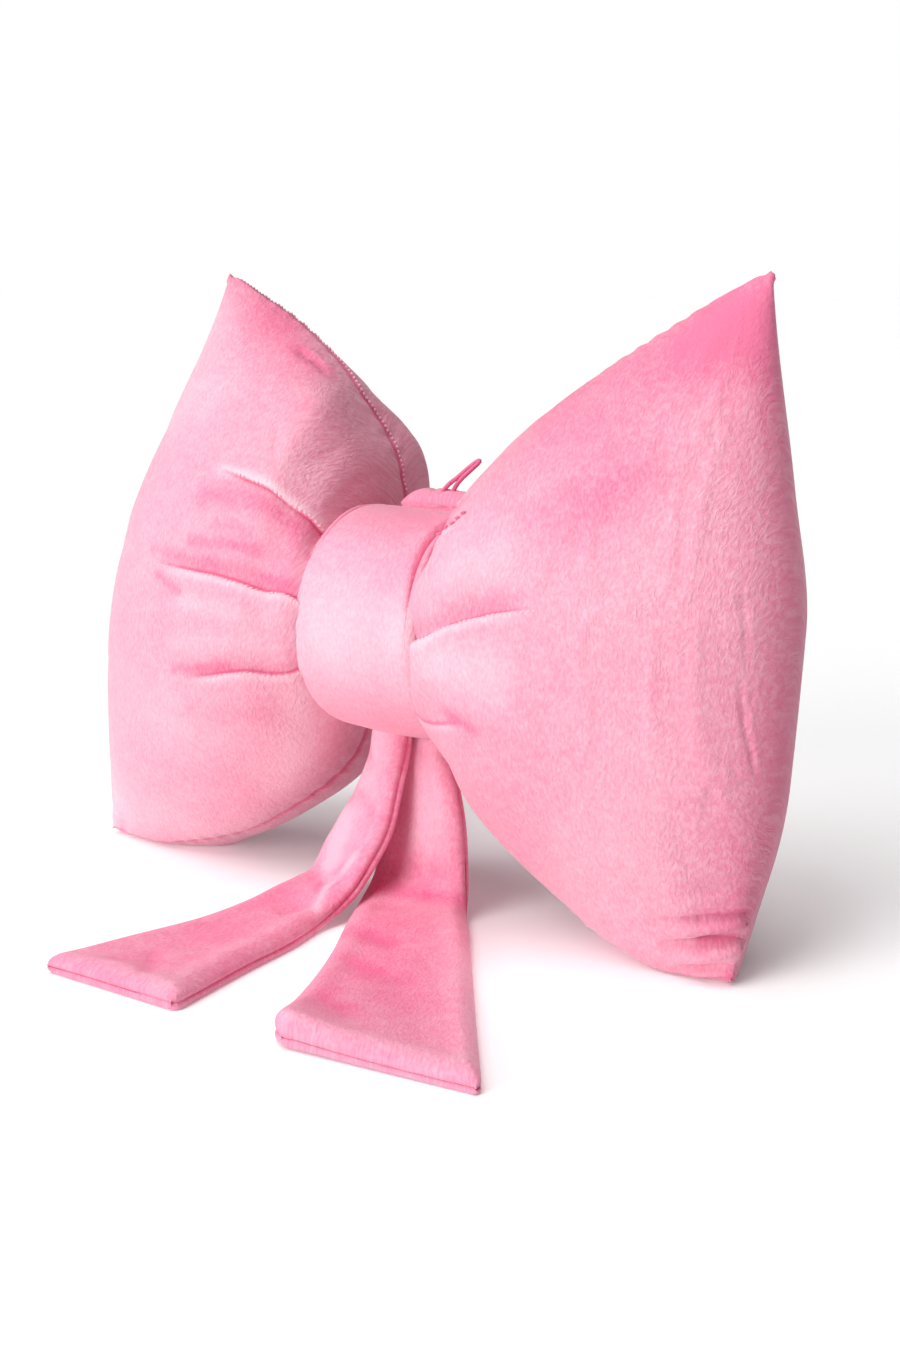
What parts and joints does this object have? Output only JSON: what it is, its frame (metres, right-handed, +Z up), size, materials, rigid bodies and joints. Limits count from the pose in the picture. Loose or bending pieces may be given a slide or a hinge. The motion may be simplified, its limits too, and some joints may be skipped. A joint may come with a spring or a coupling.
{
  "type": "bow cushion",
  "caption": "Plush bow-shaped cushion with filled wings, a padded knot band, flat sewn ties and a small hanging loop, standing on its lower corners.",
  "frame": {"origin": "middle of the cushion's box, on the floor that it stands on", "axes": "+X along the width, from the left wing to the right wing as seen from the front; -Y out of the front, where the ties lie; +Z up"},
  "size_m": [0.463, 0.2982, 0.3612],
  "materials": {
    "wing_plush": "short dense plush pile with a soft sheen",
    "knot_plush": "short dense plush pile, drawn smooth round the knot",
    "tie_plush": "short dense plush pile, two layers sewn and turned",
    "loop_cloth": "narrow folded strip with a seam along it"
  },
  "bodies": {
    "root": {"wing_left": "wing_plush", "wing_right": "wing_plush", "knot": "knot_plush", "tail_left": "tie_plush", "tail_right": "tie_plush", "hang_loop": "loop_cloth"}
  },
  "joints": []
}
